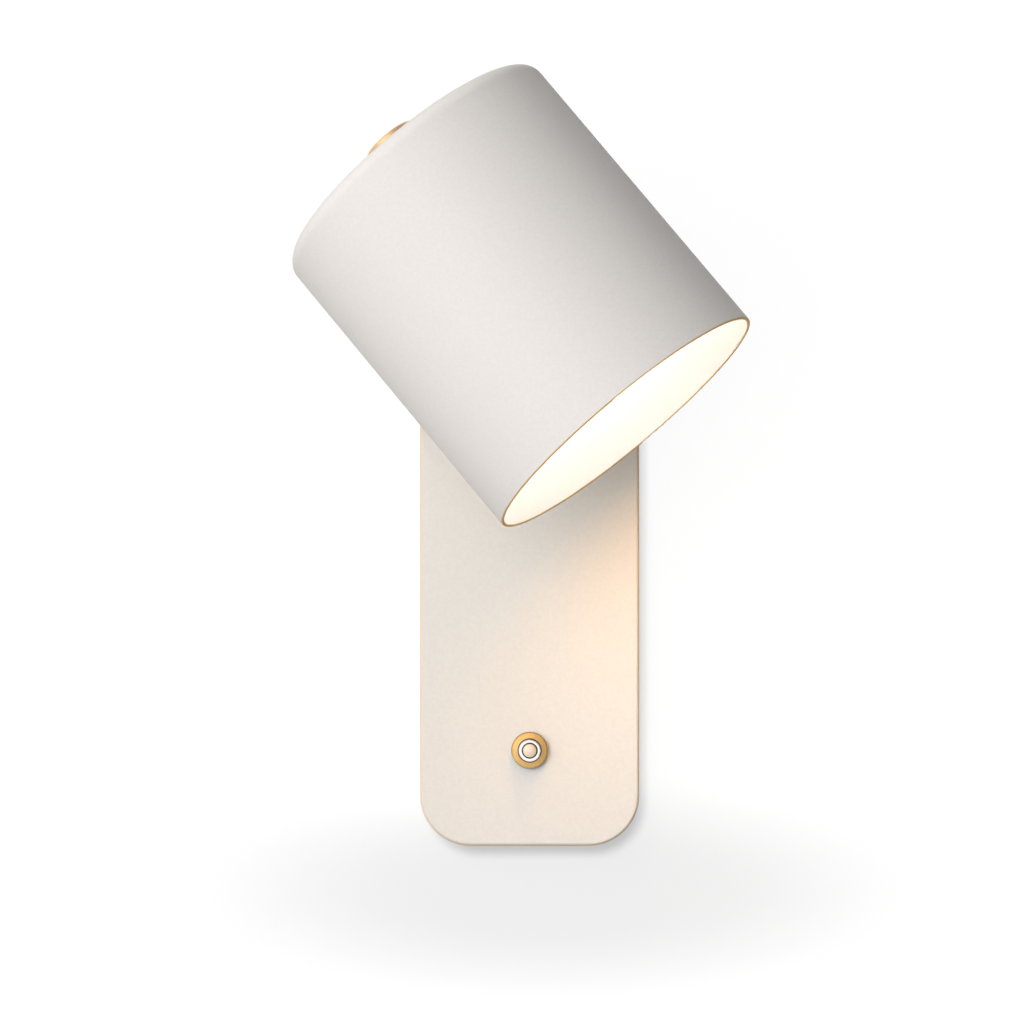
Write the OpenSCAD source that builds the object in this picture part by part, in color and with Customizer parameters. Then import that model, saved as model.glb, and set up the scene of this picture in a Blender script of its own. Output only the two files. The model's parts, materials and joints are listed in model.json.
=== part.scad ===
// Wall reading lamp: a drum shade that swivels and tilts in front of a tall rounded backplate.
// The wall is the plane y = 0, the front faces -Y, +X is to the right and +Z is up.
// The origin is on the wall, midway between the two wall screws.

/* [Backplate] */
// Width of the backplate
plate_w = 80; // [74:1:110]
// Height of the backplate
plate_h = 240; // [236:1:300]
// Depth from the wall to the front face
plate_d = 24; // [23:0.5:34]
// Radius of the four corners
plate_corner_r = 18.5; // [10:0.5:24]
// Radius of the front edge
plate_edge_r = 1.2; // [0.5:0.1:3]
// Sheet thickness of the backplate
plate_wall = 1.5; // [1:0.1:2]

/* [Wall bracket] */
// Width of the bracket strip
bracket_w = 42; // [42:1:50]
// Thickness of the bracket strip
bracket_t = 1.5; // [1:0.1:2]
// Distance between the two wall screws
wall_screw_pitch = 120; // [100:1:130]
// Width of a wall screw slot
wall_slot_w = 5; // [4:0.1:6]
// Length of a wall screw slot, end to end
wall_slot_len = 12; // [8:0.5:16]
// Hole in the cable grommet
cable_hole_d = 9; // [6:0.5:11]

/* [Shade] */
// Outside diameter of the shade
shade_d = 110.5; // [100:0.5:130]
// Length of the shade, crown to open rim
shade_len = 119; // [112:1:140]
// Wall thickness of the shade
shade_wall = 1.3; // [0.8:0.1:2]
// Radius where the side turns into the crown
shade_crown_r = 5; // [3:0.5:12]
// Distance from the crown to the arm's hole in the side
shade_arm_drop = 55.4; // [50:0.1:65]

/* [Crown cap] */
// Diameter of the brass cap
cap_d = 21; // [16:0.5:30]
// Height of the brass cap above the crown
cap_h = 12.2; // [8:0.1:16]

/* [Swivel and tilt] */
// Distance from the backplate's top edge down to the swivel axis
swivel_down = 47.7; // [42:0.1:50]
// Distance from the backplate's face to the tilt axis
pivot_out = 14; // [13.5:0.5:30]
// Distance from the tilt axis to the shade's outside
arm_reach = 11; // [10.5:0.5:20]
// Turn of the shade from straight down, as photographed
swivel_rest = 39.6; // [-160:0.5:160]
// Lean of the open end away from the wall, as photographed
tilt_rest = 9.4; // [-17:0.1:22]
// Furthest lean of the open end away from the wall
tilt_out_max = 23; // [22:1:30]
// Furthest lean of the open end towards the wall
tilt_in_max = 18; // [17:1:25]
// Outside diameter of the threaded tubes
tube_d = 10; // [9:0.1:11]
// Bore of the threaded tubes
tube_bore = 6.5; // [5.5:0.1:7]

/* [Switch] */
// Height of the switch above the backplate's bottom edge
switch_up = 35; // [30:1:40]
// Diameter of the brass ring nut
ring_nut_d = 13.3; // [11.5:0.1:16]
// Height of the brass ring nut
ring_nut_h = 3; // [2:0.1:4]
// Diameter of the chrome bushing
bushing_d = 8.3; // [7.5:0.1:9]
// Diameter of the push button
button_d = 4.8; // [4:0.1:5.2]
// How far the button stands out of the bushing
button_out = 2.4; // [2:0.1:4]
// Travel of the push button
button_travel = 1.5; // [1:0.1:2]

/* [Bulb and lampholder] */
// Diameter of the bulb's globe
bulb_d = 45; // [40:1:50]
// Length of the bulb with its cap
bulb_len = 74; // [70:1:80]
// Diameter of the bulb's screw cap
bulb_cap_d = 13.8; // [13.4:0.1:14]
// Outside diameter of the lampholder
holder_d = 27.6; // [26:0.1:32]
// Length of the lampholder's body
holder_body_len = 26; // [24:0.5:30]

/* [Fits] */
// Radial clearance of a pin or tube that turns in its hole
running_gap = 0.05; // [0.02:0.01:0.1]
// Gap between faces of different bodies that pass each other
face_gap = 0.1; // [0.05:0.01:0.2]
// Radial clearance of a screw in its own thread
thread_gap = 0.05; // [0.02:0.01:0.1]

/* [Hidden] */
$fn = 64;
hair = 0.01;

// Shared radii
tube_r = tube_d / 2;
tube_hole_r = tube_r + thread_gap;
shade_r = shade_d / 2;
nut_wall = 2;
nut_flats = tube_d + 2 * nut_wall;
nut_h = 4;
thin_nut_h = 3;
nut_ease = 0.5;

// Backplate and bracket, measured from the wall
pan_in = plate_d - plate_wall;
bracket_fit = 0.3;
bracket_half = plate_h / 2 - plate_wall - bracket_fit;
bracket_corner_r = 6;
flange_w = 30;
flange_d = 18;
retaining_y = 12;
retaining_r = 1.75;
retaining_head_r = 3.3;
retaining_ledge = 0.05;
retaining_head_h = plate_wall - retaining_ledge;
retaining_sink = 0.1;
retaining_seat_gap = 0.1;
retaining_len = 7;
slot_w = 0.8;
slot_deep = 0.8;
swivel_z = plate_h / 2 - swivel_down;
switch_z = switch_up - plate_h / 2;
switch_hole_gap = 5;
cable_z = -30;
grommet_wall = 3.5;
grommet_lip = 3;
grommet_seat_r = cable_hole_d / 2 + grommet_wall;
grommet_flange_r = grommet_seat_r + grommet_lip;
grommet_flange_h = 2;
earth_z = -46;
earth_screw_r = 2;
earth_head_r = 3.6;
earth_head_h = 2.4;
tag_t = 0.8;
tag_w = 3;
tag_reach = 9;
tag_margin = 0.6;
tag_ring_r = earth_head_r + tag_margin;
tag_lead_gap = 1;
earth_lead_rise = 14;
screw_back = 0.2;

// Terminal block on the bracket: four poles side by side
pole_pitch = 10;
pole_count = 4;
block_z = 12;
block_h = 20;
block_d = 13;
block_base_d = 5;
tower_w = 6.6;
tower_h = 17;
terminal_tube_w = 4.2;
terminal_tube_len = 14;
wire_hole_r = 1.4;
core_entry = 3;
terminal_screw_r = 1.3;
terminal_screw_well = 0.5;
wire_rise = 5.5;
wire_y = bracket_t + wire_rise;
block_screw_r = 1.25;
block_screw_head_r = 2.2;
block_screw_head_h = 2;
block_screw_well = 0.2;
block_screw_seat = -bracket_t - block_base_d + block_screw_head_h;
earth_x = pole_x(pole_count - 1);

// Swivel, measured from the backplate's front face: positive goes into the pan
bush_flange_r = 12;
bush_flange_t = 0.8;
bush_sleeve_t = 1.2;
bush_sleeve_r = tube_r + bush_sleeve_t;
yoke_disc_r = 14;
yoke_disc_t = 4;
yoke_edge_r = 1;
yoke_back = bush_flange_t + face_gap;
yoke_floor = yoke_back + yoke_disc_t;
washer_t = 0.8;
stop_t = 1.2;
stop_disc_r = 8.5;
stop_tab_reach = 12.5;
stop_tab_w = 2.4;
stop_pin_r = 1.5;
stop_pin_room = 1;
stop_pin_orbit = stop_disc_r + stop_pin_r + stop_pin_room;
stop_pin_over = 0.3;
cone_t = 1.2;
cone_lip = 0.5;
cone_crown = 1.2;
inner_washer_end = plate_wall + washer_t;
stop_start = inner_washer_end + face_gap;
cone_start = stop_start + stop_t;
nut_start = cone_start + cone_t;
stem_past_nut = 2;
stem_end = nut_start + nut_h + stem_past_nut;
stop_pin_end = cone_start + stop_pin_over;

// Tilt joint, measured from the tilt axis
floor_reach = pivot_out - yoke_floor;
pivot_tip_r = 2;
pivot_thread_r = 2.5;
pivot_head_r = 3.9;
pivot_head_h = 1.7;
pivot_head_ease = 0.6;
pivot_bite = 2.8;
pivot_end_gap = 0.35;
arm_half_w = tube_bore / 2 + pivot_bite + pivot_end_gap;
tilt_washer_t = 0.7;
tilt_washer_r = 5;
cheek_in = arm_half_w + face_gap + tilt_washer_t;
cheek_t = 3.5;
cheek_out = cheek_in + cheek_t;
cheek_r = 8;
heel_room = 1.6;
heel_back = floor_reach - heel_room;
stop_gap = 0.15;
heel_top = heel_height(tilt_out_max);
heel_bottom = heel_height(tilt_in_max);
neck_half_h = 5.4;
neck_boss = 1;
neck_lap = 0.5;
foot_gap = 0.6;
foot_start = cheek_r + foot_gap;
foot_r = 10;
foot_wrap = 0.9;
saddle_gap = 0.03;
saddle_t = 2.2;
saddle_r = 9;
lead_window_r = tube_bore / 2;
lead_window_flare = 1.6;
fit_half = 30;
fit_depth = 12;
shade_hole_gap = 0.2;
arm_past_nut = 1;
arm_tube_end = -arm_reach - shade_wall - saddle_t - thin_nut_h - arm_past_nut;

// Along the shade's axis, zero at the crown's outside and positive out of the top
crown_nut_top = -shade_wall;
holder_top = crown_nut_top - thin_nut_h;
holder_cap_len = 13.5;
holder_wall = 2;
holder_split = holder_top - holder_cap_len;
holder_mouth = holder_split - holder_body_len;
holder_bore_gap = 1.4;
holder_bore_r = bulb_cap_d / 2 + holder_bore_gap;
holder_floor_t = 4;
holder_bore_end = holder_split - holder_floor_t;
holder_top_wall = 3;
holder_top_r = tube_r + holder_top_wall;
holder_slope_end = 3.5;
holder_shoulder = 6;
holder_slope_in = 1.5;
holder_roof_t = 3;
holder_skirt_top = 5;
holder_lap = 1;
holder_skirt_step = 0.8;
shell_inset = 1.5;
shell_start = holder_mouth + shell_inset;
contact_w = 4;
contact_t = 0.6;
contact_foot = 5;
contact_rise_t = 2;
contact_rise_y = 1;
contact_tip = 2;
shell_gap = 0.3;
shell_in_r = bulb_cap_d / 2 + shell_gap;
lead_gap = 0.15;
shell_t = 0.5;
shell_len = 16;
bulb_seat_deep = 19;
bulb_tip_z = holder_mouth + bulb_seat_deep;
bulb_end_z = bulb_tip_z - bulb_len;
bulb_r = bulb_d / 2;
bulb_mid_z = bulb_end_z + bulb_r;
bulb_cap_len = 17;
bulb_tip_len = 2.2;
bulb_tip_r = 2.2;
bulb_tip_ease = 0.4;
bulb_tip_inset = 1;
bulb_neck_z = bulb_tip_z - bulb_tip_len - bulb_cap_len;
bulb_neck_wall = 0.4;
bulb_neck_r = bulb_cap_d / 2 + bulb_neck_wall;
bulb_neck_len = 5;
bulb_neck_flare = 1.6;
bulb_shoulder_share = 0.62;
bulb_shoulder_z = bulb_mid_z + bulb_r * bulb_shoulder_share;
bulb_shoulder_r = sqrt(bulb_r * bulb_r - pow(bulb_shoulder_z - bulb_mid_z, 2));
nipple_up = 5.5;
nipple_down = 9;
cap_edge_r = 1.2;
cap_rise = 0.5;
cap_hole_room = 0.5;
cap_hole_deep = nipple_up + cap_hole_room;

// Switch, measured from the backplate's front face: positive goes into the pan
bushing_r = bushing_d / 2;
bushing_past_nut = 0.8;
bushing_out = ring_nut_h + bushing_past_nut;
ring_nut_ease = 0.3;
ring_nut_edge_r = 1;
ring_nut_fall = 0.35;
button_r = button_d / 2;
button_dome = 0.6;
switch_washer_t = 0.7;
switch_front = plate_wall + switch_washer_t;
switch_body_r = 6.8;
switch_body_len = 12.5;
switch_back = switch_front + switch_body_len;
switch_cavity_r = 4.4;
button_flange_r = 3.6;
button_flange_t = 1.6;
button_flange_at = switch_front + face_gap;
spring_room = 6.3;
switch_cavity_len = face_gap + button_flange_t + spring_room + button_travel;
spring_coil_r = 2.6;
spring_wire_r = 0.35;
spring_seat_gap = 0.05;
spring_start = button_flange_at + button_flange_t + spring_wire_r + spring_seat_gap;
spring_stop = switch_front + switch_cavity_len - spring_wire_r - spring_seat_gap;
spring_turns = 4;
spring_steps = 14;
spring_sides = 6;
switch_tag_w = 2.6;
switch_tag_x = 3.6;
switch_tag_len = 4.2;
switch_tag_t = 0.5;
switch_tag_sink = 2;
switch_washer_w = 0.45;
bushing_flange_r = switch_body_r - switch_washer_w - thread_gap;
bushing_ease = 0.5;

// Leads
core_r = 0.7;
core_sink = 0.2;
core_step = 1.5;
core_bend = 1;
lead_r = 2.25;
lead_bend = 6;
lead_entry_up = 1.4;
lead_entry_z = holder_split + lead_r + lead_entry_up;
lead_in_holder = 2;
lead_in_stem = 1;
lead_pivot_gap = 4;
lead_drop_gap = 1;
switch_lead_rise_left = 16;
switch_lead_rise_right = 24;
switch_lead_step = 10;
solder_depth = 1;
fan_rise = 9;
fan_step = 3;
fan_cross_step = 5.5;

// Height of the arm's heel that meets the yoke's floor just past a tilt of a degrees
function heel_height(a) = (floor_reach - stop_gap - heel_back * cos(a)) / sin(a);

// A vector's direction, one unit long
function unit(v) = v / norm(v);

// Round bars and rings along an axis. The y ones run from the near end to the far end, along +Y
module y_rod(r, from, to) {
    translate([0, to, 0]) rotate([90, 0, 0]) cylinder(r = r, h = to - from);
}

module y_ring(r_out, r_in, from, to) {
    difference() {
        y_rod(r_out, from, to);
        y_rod(r_in, from - 1, to + 1);
    }
}

module x_rod(r, from, to) {
    translate([from, 0, 0]) rotate([0, 90, 0]) cylinder(r = r, h = to - from);
}

module z_rod(r, from, to) {
    translate([0, 0, from]) cylinder(r = r, h = to - from);
}

module z_ring(r_out, r_in, from, to) {
    difference() {
        z_rod(r_out, from, to);
        z_rod(r_in, from - 1, to + 1);
    }
}

// Six-sided nut along Z with a round hole, its corners eased on both faces
module z_nut(flats, hole_r, from, to) {
    corner_r = flats / sqrt(3);
    difference() {
        intersection() {
            translate([0, 0, from]) cylinder(r = corner_r, h = to - from, $fn = 6);
            rotate_extrude() polygon([
                [0, from], [corner_r - 2 * nut_ease, from], [corner_r, from + nut_ease],
                [corner_r, to - nut_ease], [corner_r - 2 * nut_ease, to], [0, to]
            ]);
        }
        z_rod(hole_r, from - 1, to + 1);
    }
}

// A round wire through a list of points, with a bend of the given radius at each inner point
module wire(points, r, bend) {
    last = len(points) - 1;
    trims = [for (i = [0:last])
        (i == 0 || i == last) ? 0 : bend * tan(turn_at(points, i) / 2)];
    union() {
        for (i = [0:last - 1]) {
            dir = unit(points[i + 1] - points[i]);
            a = points[i] + dir * trims[i];
            b = points[i + 1] - dir * trims[i + 1];
            lay(a, dir) cylinder(r = r, h = norm(b - a), $fn = 24);
        }
        for (i = [1:1:last - 1]) {
            d1 = unit(points[i] - points[i - 1]);
            d2 = unit(points[i + 1] - points[i]);
            turn = turn_at(points, i);
            side = unit(d2 - d1 * (d1 * d2));
            centre = points[i] - d1 * trims[i] + side * bend;
            axis = cross(-side, d1);
            multmatrix([
                [-side.x, d1.x, axis.x, centre.x],
                [-side.y, d1.y, axis.y, centre.y],
                [-side.z, d1.z, axis.z, centre.z],
                [0, 0, 0, 1]
            ]) rotate_extrude(angle = turn) translate([bend, 0]) circle(r = r, $fn = 24);
        }
    }
}

function turn_at(points, i) =
    acos(min(1, unit(points[i] - points[i - 1]) * unit(points[i + 1] - points[i])));

// Puts a child that runs along +Z at a point, running along a direction
module lay(at, dir) {
    side = abs(dir.z) > 0.9 ? [1, 0, 0] : [0, 0, 1];
    x = unit(cross(side, dir));
    y = cross(dir, x);
    multmatrix([
        [x.x, y.x, dir.x, at.x],
        [x.y, y.y, dir.y, at.y],
        [x.z, y.z, dir.z, at.z],
        [0, 0, 0, 1]
    ]) children();
}

// Where each group sits
module at_switch() translate([0, -plate_d, switch_z]) children();
module at_swivel() translate([0, -plate_d, swivel_z]) children();
module at_yoke() at_swivel() rotate([0, -swivel_rest, 0]) children();
module at_pivot() {
    translate([0, -plate_d - pivot_out, swivel_z]) rotate([-tilt_rest, -swivel_rest, 0]) children();
}
module at_crown() at_pivot() translate([0, -arm_reach - shade_r, shade_arm_drop]) children();

// Rounded rectangle in the plane of the wall, extruded from y = -from to y = -to
module slab(w, h, r, from, to) {
    translate([0, -from, 0]) rotate([90, 0, 0]) linear_extrude(to - from) union() {
        square([w, h - 2 * r], center = true);
        square([w - 2 * r, h], center = true);
        for (x = [-1, 1], z = [-1, 1]) translate([x * (w / 2 - r), z * (h / 2 - r)]) circle(r);
    }
}

// Half of a slab's section, with its outer front corner rounded
module edge_profile(half, d, e) {
    union() {
        square([half, d - e]);
        square([half - e, d]);
        translate([half - e, d - e]) circle(e, $fn = 32);
    }
}

// Solid block with rounded corners whose front edge is rounded all the way round
module soft_slab(w, h, d, r, e) {
    union() {
        for (x = [-1, 1], z = [-1, 1]) translate([x * (w / 2 - r), 0, z * (h / 2 - r)])
            rotate([90, 0, 0]) rotate_extrude() edge_profile(r, d, e);
        for (side = [0, 1]) mirror([side, 0, 0]) translate([0, 0, -h / 2 + r])
            mirror([0, 1, 0]) linear_extrude(h - 2 * r) edge_profile(w / 2, d, e);
        for (end = [0, 1]) mirror([0, 0, end]) translate([-w / 2 + r, 0, 0])
            rotate([90, 0, 90]) mirror([1, 0, 0]) rotate([0, 0, 90]) mirror([0, 1, 0])
                linear_extrude(w - 2 * r) edge_profile(h / 2, d, e);
    }
}

// Wall unit

module wall_bracket() color("lightsteelblue") difference() {
    union() {
        slab(bracket_w, 2 * bracket_half, bracket_corner_r, 0, bracket_t);
        for (end = [0, 1]) mirror([0, 0, end])
            translate([-flange_w / 2, -flange_d, bracket_half - bracket_t])
                cube([flange_w, flange_d, bracket_t]);
    }
    for (end = [-1, 1]) translate([0, 0, end * wall_screw_pitch / 2])
        slab(wall_slot_w, wall_slot_len, wall_slot_w / 2 - hair, -1, bracket_t + 1);
    bracket_hole(0, cable_z, grommet_seat_r + thread_gap);
    bracket_hole(0, switch_z, switch_body_r + switch_hole_gap);
    bracket_hole(0, block_z, block_screw_r + thread_gap);
    bracket_hole(earth_x, earth_z, earth_screw_r + thread_gap);
    for (end = [0, 1]) mirror([0, 0, end]) translate([0, -retaining_y, 0])
        z_rod(retaining_r + thread_gap, bracket_half - 2 * bracket_t, bracket_half + 1);
}

module bracket_hole(x, z, r) translate([x, 0, z]) y_rod(r, -bracket_t - 1, 1);

module backplate() color("linen") difference() {
    union() {
        difference() {
            soft_slab(plate_w, plate_h, plate_d, plate_corner_r, plate_edge_r);
            slab(plate_w - 2 * plate_wall, plate_h - 2 * plate_wall, plate_corner_r - plate_wall, -1, pan_in);
        }
        at_swivel() translate([0, 0, stop_pin_orbit]) y_rod(stop_pin_r, plate_wall - hair, stop_pin_end);
    }
    at_swivel() y_rod(bush_sleeve_r + thread_gap, -1, plate_wall + 1);
    at_switch() y_rod(bushing_r + thread_gap, -1, plate_wall + 1);
    at_retaining() rotate_extrude()
        retaining_profile(retaining_seat_gap, plate_wall + 1, 1);
}

// Countersunk screws through the top and bottom edges, flush with the backplate
module retaining_screws() color("silver") at_retaining() difference() {
    rotate_extrude() retaining_profile(0, retaining_len, -retaining_sink);
    translate([-retaining_head_r - 1, -slot_w / 2, -slot_deep - retaining_sink])
        cube([2 * retaining_head_r + 2, slot_w, 2]);
}

// Half section of the screw, or of its seat with a gap round it; zero is the backplate's edge
module retaining_profile(gap, deep, top) polygon([
    [0, -deep], [retaining_r + gap, -deep], [retaining_r + gap, -retaining_head_h],
    [retaining_head_r + gap, -retaining_sink], [retaining_head_r + gap, max(top, -retaining_sink)],
    [0, max(top, -retaining_sink)]
]);

module at_retaining() for (end = [0, 1]) mirror([0, 0, end])
    translate([0, -retaining_y, plate_h / 2]) children();

module cable_grommet() color("dimgray") translate([0, 0, cable_z])
    rotate([90, 0, 0]) rotate_extrude() polygon([
        [cable_hole_d / 2, 0], [grommet_seat_r, 0], [grommet_seat_r, bracket_t],
        [grommet_flange_r, bracket_t], [grommet_flange_r, bracket_t + grommet_flange_h * 0.6],
        [grommet_flange_r - 1, bracket_t + grommet_flange_h], [cable_hole_d / 2, bracket_t + grommet_flange_h]
    ]);

function pole_x(i) = (i - (pole_count - 1) / 2) * pole_pitch;

// Where the poles sit, and the two screws of each
module at_poles() for (i = [0:pole_count - 1]) translate([pole_x(i), -wire_y, block_z]) children();
module at_pole_screws() at_poles()
    for (end = [-1, 1]) translate([0, 0, end * terminal_tube_len / 4]) children();

module terminal_block() color("whitesmoke") difference() {
    front = -bracket_t - block_d;
    union() {
        translate([-pole_count * pole_pitch / 2, -bracket_t - block_base_d, block_z - block_h / 2])
            cube([pole_count * pole_pitch, block_base_d, block_h]);
        for (i = [0:pole_count - 1]) translate([pole_x(i) - tower_w / 2, front, block_z - tower_h / 2])
            cube([tower_w, block_d, tower_h]);
    }
    at_poles() cube([terminal_tube_w, terminal_tube_w, block_h + 2], center = true);
    at_pole_screws() y_rod(terminal_screw_r + terminal_screw_well, -block_d, 0);
    translate([0, 0, block_z]) {
        y_rod(block_screw_r + block_screw_well, front, 1);
        y_rod(block_screw_head_r + block_screw_well, front, block_screw_seat);
    }
}

module terminal_tubes() color("goldenrod") difference() {
    tube_side = terminal_tube_w - 2 * thread_gap;
    at_poles() cube([tube_side, tube_side, terminal_tube_len], center = true);
    at_poles() z_rod(wire_hole_r, -terminal_tube_len, terminal_tube_len);
    at_pole_screws() y_rod(terminal_screw_r + thread_gap, -terminal_tube_w, 0);
}

module terminal_screws() color("silver") at_pole_screws() difference() {
    y_rod(terminal_screw_r, -terminal_tube_w, -core_r - thread_gap);
    translate([-terminal_screw_r - 1, -terminal_tube_w - 1, -slot_w / 2])
        cube([2 * terminal_screw_r + 2, 1 + slot_deep, slot_w]);
}

module block_screw() color("silver") translate([0, 0, block_z]) difference() {
    head_front = block_screw_seat - block_screw_head_h;
    union() {
        y_rod(block_screw_r, head_front, -screw_back);
        y_rod(block_screw_head_r, head_front, block_screw_seat - hair);
    }
    translate([-block_screw_head_r - 1, head_front - 1, -slot_w / 2])
        cube([2 * block_screw_head_r + 2, 1 + slot_deep, slot_w]);
}

module earth_screw() color("goldenrod") translate([earth_x, 0, earth_z]) difference() {
    head_front = -bracket_t - tag_t - earth_head_h;
    union() {
        y_rod(earth_screw_r, head_front, -screw_back);
        y_rod(earth_head_r, head_front, -bracket_t - tag_t);
    }
    translate([-earth_head_r - 1, head_front - 1, -slot_w / 2])
        cube([2 * earth_head_r + 2, 1 + slot_deep, slot_w]);
}

// The earth lead's ring tag lies under the earth screw's head
module earth_lead() color("yellowgreen") difference() {
    on_tag_y = -bracket_t - tag_t - core_r + core_sink;
    union() {
        translate([earth_x, 0, earth_z]) y_rod(tag_ring_r, -bracket_t - tag_t, -bracket_t);
        translate([earth_x - tag_w / 2, -bracket_t - tag_t, earth_z]) cube([tag_w, tag_t, tag_reach]);
        wire([
            [earth_x, on_tag_y, earth_z + tag_ring_r + tag_lead_gap],
            [earth_x, on_tag_y, earth_z + earth_lead_rise],
            [earth_x, -wire_y, earth_z + earth_lead_rise],
            [earth_x, -wire_y, block_z - terminal_tube_len / 2 + core_entry]
        ], core_r, core_bend);
    }
    translate([earth_x, 0, earth_z]) y_rod(earth_screw_r + thread_gap, -bracket_t - tag_t - 1, 0);
}

// Push switch

module switch_body() color("dimgray") at_switch() difference() {
    pocket_w = switch_tag_w + 2 * thread_gap;
    pocket_t = switch_tag_t + 2 * thread_gap;
    y_rod(switch_body_r, switch_front, switch_back);
    y_rod(switch_cavity_r, switch_front - 1, switch_front + switch_cavity_len);
    for (x = [-1, 1]) translate([x * switch_tag_x, switch_back, 0])
        cube([pocket_w, 2 * switch_tag_sink, pocket_t], center = true);
}

// Threaded bushing: its flange closes the front of the switch body
module switch_bushing() color("gainsboro") at_switch() rotate([90, 0, 0]) rotate_extrude() polygon([
    [button_r + face_gap, -switch_front], [bushing_flange_r, -switch_front],
    [bushing_flange_r, -plate_wall - hair], [bushing_r, -plate_wall - hair],
    [bushing_r, bushing_out - bushing_ease], [bushing_r - bushing_ease, bushing_out],
    [button_r + face_gap + bushing_ease, bushing_out], [button_r + face_gap, bushing_out - bushing_ease]
]);

// Round nut that clamps the bushing to the backplate, with a coned face and a round front edge
module switch_ring_nut() color("goldenrod") at_switch() rotate([90, 0, 0]) rotate_extrude() union() {
    nut_r = ring_nut_d / 2;
    face_end = ring_nut_h - ring_nut_fall;
    hole_r = bushing_r + thread_gap;
    polygon([
        [hole_r, 0], [nut_r - ring_nut_ease, 0], [nut_r, ring_nut_ease], [nut_r, face_end - ring_nut_edge_r],
        [nut_r - ring_nut_edge_r, face_end], [hole_r, ring_nut_h]
    ]);
    translate([nut_r - ring_nut_edge_r, face_end - ring_nut_edge_r]) circle(ring_nut_edge_r, $fn = 32);
}

module switch_washer() color("silver") at_switch()
    y_ring(switch_body_r, switch_body_r - switch_washer_w, plate_wall + hair, switch_front - hair);

module switch_tags() color("goldenrod") at_switch() for (x = [-1, 1]) translate([x * switch_tag_x, 0, 0])
    translate([-switch_tag_w / 2, switch_back - switch_tag_sink + thread_gap, -switch_tag_t / 2])
        cube([switch_tag_w, switch_tag_len, switch_tag_t]);

module switch_button() color("antiquewhite") at_switch() rotate([90, 0, 0]) rotate_extrude() union() {
    top = bushing_out + button_out;
    dome_r = (pow(button_r, 2) + pow(button_dome, 2)) / (2 * button_dome);
    polygon([
        [0, -button_flange_at - button_flange_t], [button_flange_r, -button_flange_at - button_flange_t],
        [button_flange_r, -button_flange_at], [button_r, -button_flange_at],
        [button_r, top - button_dome], [0, top - button_dome]
    ]);
    translate([0, top - button_dome]) intersection() {
        square([button_r, button_dome]);
        translate([0, button_dome - dome_r]) circle(dome_r, $fn = 128);
    }
}

// Compression spring between the button's flange and the bottom of the switch body
function spring_centre(i) = [
    spring_coil_r * cos(360 * i / spring_steps),
    spring_start + (spring_stop - spring_start) * i / (spring_turns * spring_steps),
    spring_coil_r * sin(360 * i / spring_steps)
];

function spring_point(i, k) = spring_centre(i) + spring_wire_r * (
    cos(360 * k / spring_sides) * [cos(360 * i / spring_steps), 0, sin(360 * i / spring_steps)]
    + sin(360 * k / spring_sides) * [0, 1, 0]);

module switch_spring() color("silver") at_switch() {
    rings = spring_turns * spring_steps;
    last = spring_sides - 1;
    polyhedron(
        points = [for (i = [0:rings], k = [0:last]) spring_point(i, k)],
        faces = concat(
            [[for (k = [0:last]) k]],
            [for (i = [0:rings - 1], k = [0:last]) let (
                a = i * spring_sides + k, b = i * spring_sides + (k + 1) % spring_sides
            ) [a, a + spring_sides, b + spring_sides]],
            [for (i = [0:rings - 1], k = [0:last]) let (
                a = i * spring_sides + k, b = i * spring_sides + (k + 1) % spring_sides
            ) [a, b + spring_sides, b]],
            [[for (k = [last:-1:0]) rings * spring_sides + k]]
        )
    );
}

module switch_leads() color("saddlebrown") for (side = [-1, 1]) {
    i = side < 0 ? 0 : 1;
    rise = side < 0 ? switch_lead_rise_left : switch_lead_rise_right;
    solder_y = -plate_d + switch_back + solder_depth;
    side_z = switch_z + rise;
    wire([
        [side * switch_tag_x, solder_y, switch_z + switch_tag_t / 2],
        [side * switch_tag_x, solder_y, side_z],
        [pole_x(i), solder_y, side_z], [pole_x(i), solder_y, side_z + switch_lead_step],
        [pole_x(i), -wire_y, side_z + switch_lead_step],
        [pole_x(i), -wire_y, block_z - terminal_tube_len / 2 + core_entry]
    ], core_r, core_bend);
}

// Sheathed lead from the terminal block into the hollow stem, with its three cores
module supply_lead() color("gray") {
    fan_z = block_z + tower_h / 2 + fan_rise;
    union() {
        wire([
            [0, -wire_y, fan_z], [0, -wire_y, swivel_z], [0, -plate_d - yoke_floor + lead_in_stem, swivel_z]
        ], lead_r, lead_bend);
        for (i = [1:3]) {
            side_z = fan_z - (i == 2 ? fan_cross_step : fan_step);
            wire([
                [(i - 2) * core_step, -wire_y, fan_z + 1], [(i - 2) * core_step, -wire_y, side_z],
                [pole_x(i), -wire_y, side_z],
                [pole_x(i), -wire_y, block_z + terminal_tube_len / 2 - core_entry]
            ], core_r, core_bend);
        }
    }
}

// Swivel

module swivel_bush() color("ivory") at_swivel() difference() {
    union() {
        y_rod(bush_flange_r, -bush_flange_t, 0);
        y_rod(bush_sleeve_r, -bush_flange_t, plate_wall - hair);
    }
    y_rod(tube_r + running_gap, -bush_flange_t - 1, plate_wall + 1);
}

module inner_washer() color("ivory") at_swivel()
    y_ring(stop_disc_r, tube_r + running_gap, plate_wall, inner_washer_end);

module swivel_stem() color("gold") at_swivel() y_ring(tube_r, tube_bore / 2, -yoke_floor, stem_end);

// The tab meets the pin inside the backplate at both ends of the turn
module stop_washer() color("silver") at_yoke() difference() {
    union() {
        y_rod(stop_disc_r, stop_start, cone_start);
        translate([-stop_tab_w / 2, stop_start, -stop_tab_reach]) cube([stop_tab_w, stop_t, stop_tab_reach]);
    }
    y_rod(tube_hole_r, stop_start - 1, cone_start + 1);
}

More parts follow.
